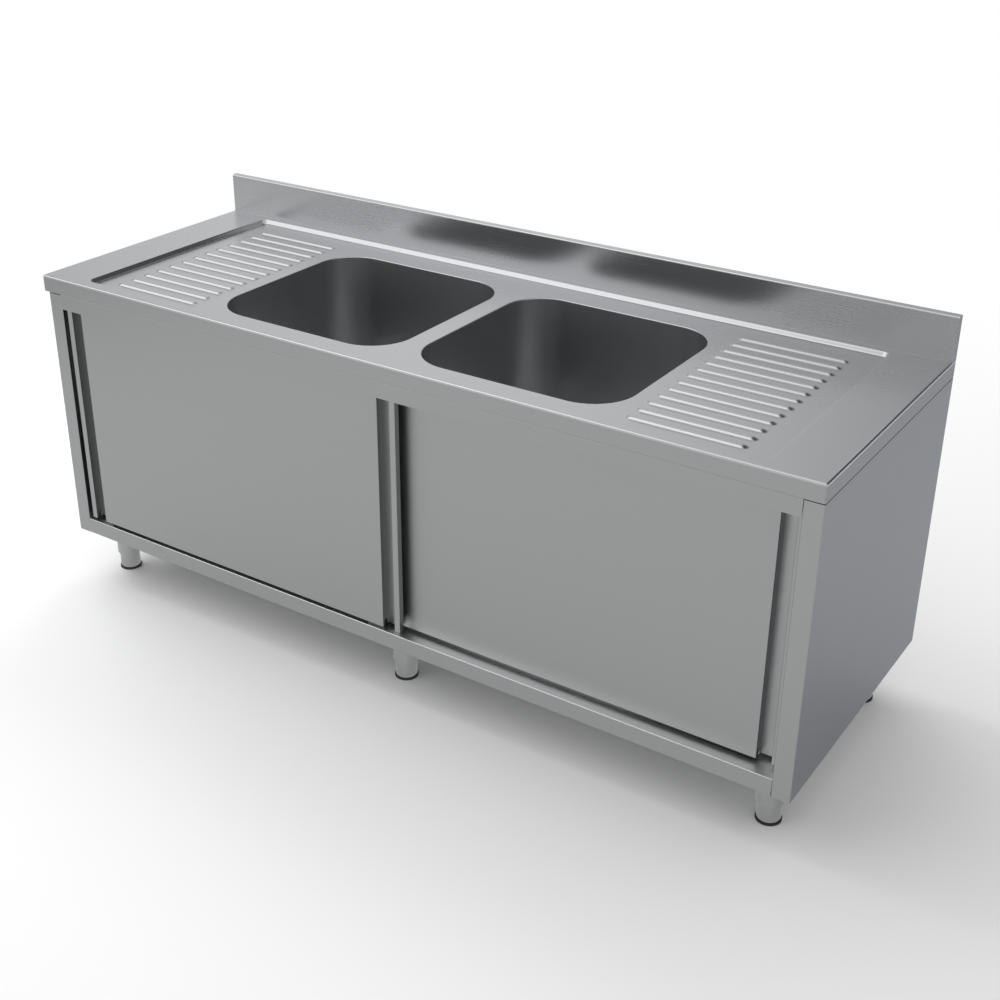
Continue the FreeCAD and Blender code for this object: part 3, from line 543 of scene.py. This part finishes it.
RIB_HEIGHT = 4.4 * MM
RIB_REACH = 6.5 * MM
UPSTAND_FACE = 0.330
UPSTAND_HEIGHT = 0.100
COVE = 0.3 * MM
SLIVER = 1e-5       # keeps two round corners apart where they would meet, and a square one round


def eased_step(parts, bend):
    """Pairs (share across, share up) of a pressed step: an arc, a flank and an arc.

    Over the middle, a share bend from both ends, the height follows 3t^2 - 2t^3, which leaves
    both ends level.
    """
    across = np.linspace(bend, 1.0 - bend, parts)
    share = (across - bend) / (1.0 - 2.0 * bend)
    return list(zip(across, share * share * (3.0 - 2.0 * share)))


def press_recess(sheet):
    """The pressed step round the recess: outlines drawn in by the share across, lowered by the share up."""
    rim = rounded_outline(grown(RECESS, HOLD), RECESS_CORNER + HOLD)
    rings = [at_height(rim, TOP)]
    for across, down in eased_step(11, 0.2):
        drawn_in = -RECESS_SLOPE * across
        outline = rounded_outline(grown(RECESS, drawn_in), RECESS_CORNER + drawn_in)
        rings.append(at_height(outline, TOP - RECESS_DEPTH * down))
    foot = rounded_outline(grown(RECESS_FLOOR, -HOLD), FLOOR_CORNER - HOLD)
    rings.append(at_height(foot, FLOOR))
    sheet.add_rings(rings)


def rib_outline(span, start, drawn_in, steps=8):
    """A stadium: a rectangle whose corner radius is half its width, drawn in by an amount.

    Its ends are drawn in twice as fast, from RIB_REACH beyond the span, so they slope longer.
    """
    ends = RIB_REACH - drawn_in
    box = grown((span[0] - ends, span[1] + ends, start, start + RIB_WIDTH), -drawn_in)
    return rounded_outline(box, RIB_WIDTH / 2 - drawn_in - SLIVER, steps)


def press_rib(sheet, span, start):
    """One drainer rib: a rounded shoulder that rises to a level crown."""
    rings = [at_height(rib_outline(span, start, -HOLD), FLOOR)]
    for across, up in eased_step(8, 0.0):
        rings.append(at_height(rib_outline(span, start, RIB_REACH * across), FLOOR + RIB_HEIGHT * up))
    crown = rib_outline(span, start, RIB_REACH + HOLD)
    rings.append(at_height(crown, FLOOR + RIB_HEIGHT))
    sheet.add_rings(rings)
    sheet.add_flat([crown], FLOOR + RIB_HEIGHT)


def bowl_outline(box, out):
    """A bowl's mouth, widened by an amount."""
    return rounded_outline(grown(box, out), BOWL_CORNER + out, BOWL_STEPS)


def turn_rim(sheet, box):
    """The rim of a bowl: the sheet turns down by a quarter circle and ends in the bowl's wall."""
    rings = [at_height(bowl_outline(box, RIM + HOLD), FLOOR)]
    for angle in np.linspace(0.0, math.pi / 2, 6):
        out = RIM * (1.0 - math.sin(angle))
        rings.append(at_height(bowl_outline(box, out), FLOOR - RIM * (1.0 - math.cos(angle))))
    sheet.add_rings(rings)


def skirt_row(out, z, steps=6):
    """One level of the skirt's profile, carried round the left, front and right sides.

    The corners are quarter circles whose radius is the bend's plus the distance outwards.
    """
    corner = max(BEND + out, 0.0)
    inward = min(BEND + out, 0.0)
    angles = np.linspace(0.0, math.pi / 2, steps + 1)
    x, y = WORKTOP[1] - BEND + inward, WORKTOP[2] + BEND - inward
    right = np.stack([x + corner * np.sin(angles), y - corner * np.cos(angles)], axis=1)
    left = right[::-1] * (-1.0, 1.0)
    rear = WORKTOP[3]
    path = np.concatenate([[(WORKTOP[0] - out, rear)], left, right, [(WORKTOP[1] + out, rear)]])
    return at_height(path, z)


def fold_skirt(sheet):
    """The front and end skirts: a quarter-circle bend, a straight drop and the hem turned in below.

    The drop takes the sheet's second material: the same steel, darker than the copy on the top and bend,
    which is painted lighter as painted light.
    """
    hem = 0.5 * MM
    base = TOP - SKIRT
    bend = [(-BEND - HOLD, TOP)]
    for angle in np.linspace(0.0, math.pi / 2, 7):
        bend.append((-BEND * (1.0 - math.sin(angle)), TOP - BEND * (1.0 - math.cos(angle))))
    bend.append((0.0, TOP - BEND - HOLD))
    drop = [(0.0, TOP - BEND - HOLD), (0.0, base + hem + HOLD)]
    for angle in np.linspace(0.0, math.pi / 2, 5):
        drop.append((-hem * (1.0 - math.cos(angle)), base + hem * (1.0 - math.sin(angle))))
    drop.append((-TURNED_IN, base))
    sheet.add_rings([skirt_row(*place) for place in bend], closed=False, flip=True)
    sheet.change_finish(1)
    sheet.add_rings([skirt_row(*place) for place in drop], closed=False, flip=True)


def fold_upstand(sheet):
    """The upstand: a profile in Y and Z carried along X, with a small cove at its foot.

    Its end caps take the sheet's second material: the same steel, darker than the copy on the rest, which
    is painted lighter as painted light.
    """
    face, rear = UPSTAND_FACE, WORKTOP[3]
    top = TOP + UPSTAND_HEIGHT
    profile = [(face - COVE - HOLD, TOP), (face - COVE, TOP)]
    for angle in np.linspace(0.0, math.pi / 2, 6)[1:]:
        profile.append((face - COVE + COVE * math.sin(angle), TOP + COVE * (1.0 - math.cos(angle))))
    profile.append((face, TOP + COVE + HOLD))
    profile.append((face, top - BEND - HOLD))
    for angle in np.linspace(0.0, math.pi / 2, 7):
        profile.append((face + BEND * (1.0 - math.cos(angle)), top - BEND * (1.0 - math.sin(angle))))
    for angle in np.linspace(0.0, math.pi / 2, 7):
        profile.append((rear - BEND * (1.0 - math.sin(angle)), top - BEND * (1.0 - math.cos(angle))))
    profile.append((rear, top - BEND - HOLD))
    profile.append((rear, top - TURNED_IN))
    under = [(rear, TOP - SHEET), (face - COVE - HOLD, TOP - SHEET)]
    cap = np.array(profile + under)
    left, right = (np.column_stack([np.full(len(cap), x), cap]) for x in WORKTOP[:2])
    sheet.add_rings([left[:len(profile)], right[:len(profile)]], closed=False, flip=True)
    sheet.change_finish(1)
    sheet.add_face(left)
    sheet.add_face(right[::-1])
    sheet.change_finish(0)


def make_worktop(steel, skirt_steel):
    """The whole pressed worktop as one sheet, in lit and shaded copies of one steel: its top and bends are
    painted lighter than the skirt's drop and end caps, as painted light.
    """
    sheet = Surface()
    fold = BEND + HOLD
    rear = UPSTAND_FACE - COVE - HOLD
    deck = rounded_outline((WORKTOP[0] + fold, WORKTOP[1] - fold, WORKTOP[2] + fold, rear), SLIVER, 1)
    sheet.add_flat([deck, rounded_outline(grown(RECESS, HOLD), RECESS_CORNER + HOLD)], TOP)
    press_recess(sheet)
    outlines = [rounded_outline(grown(RECESS_FLOOR, -HOLD), FLOOR_CORNER - HOLD)]
    outlines += [bowl_outline(box, RIM + HOLD) for box in BOWLS.values()]
    for span in RIBS.values():
        for start in RIB_STARTS:
            outlines.append(rib_outline(span, start, -HOLD))
            press_rib(sheet, span, start)
    sheet.add_flat(outlines, FLOOR)
    for box in BOWLS.values():
        turn_rim(sheet, box)
    fold_upstand(sheet)
    fold_skirt(sheet)
    sheet.make("worktop_sheet", [steel, skirt_steel], "cabinet", "worktop", SHEET)


# ---------------------------------------------------------------- bowls

BOWL_SHEET = 1.2 * MM
BOWL_FLOOR = 0.510
BOWL_BEND = 0.040
BOWL_FLANGE = 0.012
WASTE_HOLE = 0.030


def make_bowl(side, steel):
    """A deep-drawn bowl: rings from the flange down the wall, round the floor bend to the waste."""
    box = BOWLS[side]
    middle = np.array([(box[0] + box[1]) / 2, (box[2] + box[3]) / 2])
    mouth = FLOOR - SHEET
    eased = 0.8 * MM
    rings = [
        at_height(bowl_outline(box, BOWL_FLANGE), mouth),
        at_height(bowl_outline(box, eased), mouth),
        at_height(bowl_outline(box, 0.0), mouth - eased),
    ]
    for share in np.linspace(0.0, 1.0, 6)[1:]:
        rings.append(at_height(bowl_outline(box, 0.0), mouth - (mouth - BOWL_FLOOR - BOWL_BEND) * share))
    for angle in np.linspace(0.0, math.pi / 2, 10)[1:]:
        drawn_in = BOWL_BEND * (1.0 - math.cos(angle))
        z = BOWL_FLOOR + BOWL_BEND * (1.0 - math.sin(angle))
        rings.append(at_height(bowl_outline(box, -drawn_in), z))
    last = bowl_outline(box, -BOWL_BEND)
    way = (last - middle) / np.linalg.norm(last - middle, axis=1)[:, None]
    hole = middle + way * WASTE_HOLE
    for share in np.linspace(0.0, 1.0, 9)[1:]:
        rings.append(at_height(last * (1.0 - share) + hole * share, BOWL_FLOOR))
    shell = Surface()
    shell.add_rings(rings)
    shell.make(f"bowl_{side}_shell", [steel], "cabinet", f"bowl_{side}", BOWL_SHEET)


# ---------------------------------------------------------------- dressing the CAD nodes

def dress(node, material):
    """Give a CAD node its finish."""
    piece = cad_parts[node]
    piece.data.materials.clear()
    piece.data.materials.append(material)


set_camera()
WALLS = [
    (-1.0, 0.60), (-0.85, 0.66), (-0.74, 0.84), (-0.62, 0.97), (-0.50, 0.94), (-0.40, 0.80),
    (-0.30, 0.62), (-0.10, 0.34), (0.15, 0.10), (1.0, 0.10),
]
set_world(0.64, 0.9, WALLS)
add_softbox("key_light", (-2.6, -2.2, 3.9), (0.0, 0.0, 0.6), 4.8, 4.8, 60.0, glare=True)
add_softbox("rear_light", (-1.0, 3.2, 5.4), (0.0, 0.0, 0.5), 4.0, 2.0, 70.0)
add_softbox("left_light", (-4.0, 0.5, 4.0), (0.0, 0.0, 0.5), 3.0, 3.0, 111.0)
add_floor()

# The worktop's top takes the front's steel painted lighter: painted light on the same steel.
WORKTOP_STEEL_PAINTED_LIGHT = brushed_steel("worktop_steel_painted_light", (0.485, 0.493, 0.503), 0.27, "x")
# The bowls take the front's steel painted lighter, to lift their shaded insides: painted light.
BOWL_STEEL_PAINTED_LIGHT = brushed_steel("bowl_steel_painted_light", (0.450, 0.457, 0.465), 0.36, "z")
EDGE = (0.63, 0.645, 0.70)
FRONT_STEEL = brushed_steel("front_satin_steel", (0.350, 0.357, 0.355), 0.38, "x", EDGE)
DOOR_STEEL = brushed_steel("door_satin_steel", (0.350, 0.357, 0.355), 0.38, "z", EDGE)
# The bottom rail above 0.1695 m is painted pale: painted light on the same steel.
LEDGE_STEEL_PAINTED_LIGHT = brushed_steel("ledge_steel_painted_light", (0.350, 0.357, 0.355), 0.38, "x", EDGE,
                            ledge=(0.1695, (0.86, 0.87, 0.87)))
SIDE_STEEL = brushed_steel("side_satin_steel", (0.350, 0.357, 0.357), 0.36, "z", EDGE)
FOOT_STEEL = brushed_steel("foot_sleeve_steel", (0.36, 0.365, 0.365), 0.27, "z")
LEG_STEEL = leg_on_pad("foot_leg_steel", (0.36, 0.365, 0.365), 0.27, (0.012, 0.012, 0.012), 5.2 * MM)
ZINC = zinc_coat("zinc_coat", (0.36, 0.37, 0.38), 0.42)
TRACK_METAL = brushed_steel("track_aluminium", (0.45, 0.45, 0.46), 0.34, "x")
CHROME = polished_chrome("waste_chrome", (0.62, 0.62, 0.63), 0.12)
BLACK_PLASTIC = moulded_plastic("black_moulding", (0.025, 0.025, 0.026), 0.45)
WHITE_PLASTIC = moulded_plastic("roller_nylon", (0.62, 0.62, 0.58), 0.4)

FINISHES = {
    "side_left": SIDE_STEEL, "side_right": SIDE_STEEL, "back_panel": SIDE_STEEL,
    "top_rail": FRONT_STEEL, "bottom_rail": LEDGE_STEEL_PAINTED_LIGHT, "bottom_shelf": FRONT_STEEL,
    "track_front": TRACK_METAL, "track_rear": TRACK_METAL, "bottom_guide": BLACK_PLASTIC,
    "waste_bodies": CHROME, "waste_strainers": CHROME, "waste_nuts": BLACK_PLASTIC,
    "worktop": WORKTOP_STEEL_PAINTED_LIGHT, "bowl_left": BOWL_STEEL_PAINTED_LIGHT, "bowl_right": BOWL_STEEL_PAINTED_LIGHT,
    "foot_sockets": FOOT_STEEL,
}
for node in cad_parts:
    if node in FINISHES:
        dress(node, FINISHES[node])
    elif node.startswith("foot_leg"):
        dress(node, LEG_STEEL)
    elif node.endswith(("_skin", "_pan")):
        dress(node, DOOR_STEEL)
    elif "roller" in node:
        dress(node, WHITE_PLASTIC)
    else:
        dress(node, ZINC)

make_worktop(WORKTOP_STEEL_PAINTED_LIGHT, FRONT_STEEL)
make_bowl("left", BOWL_STEEL_PAINTED_LIGHT)
make_bowl("right", BOWL_STEEL_PAINTED_LIGHT)

bpy.context.scene.view_settings.view_transform = "Standard"
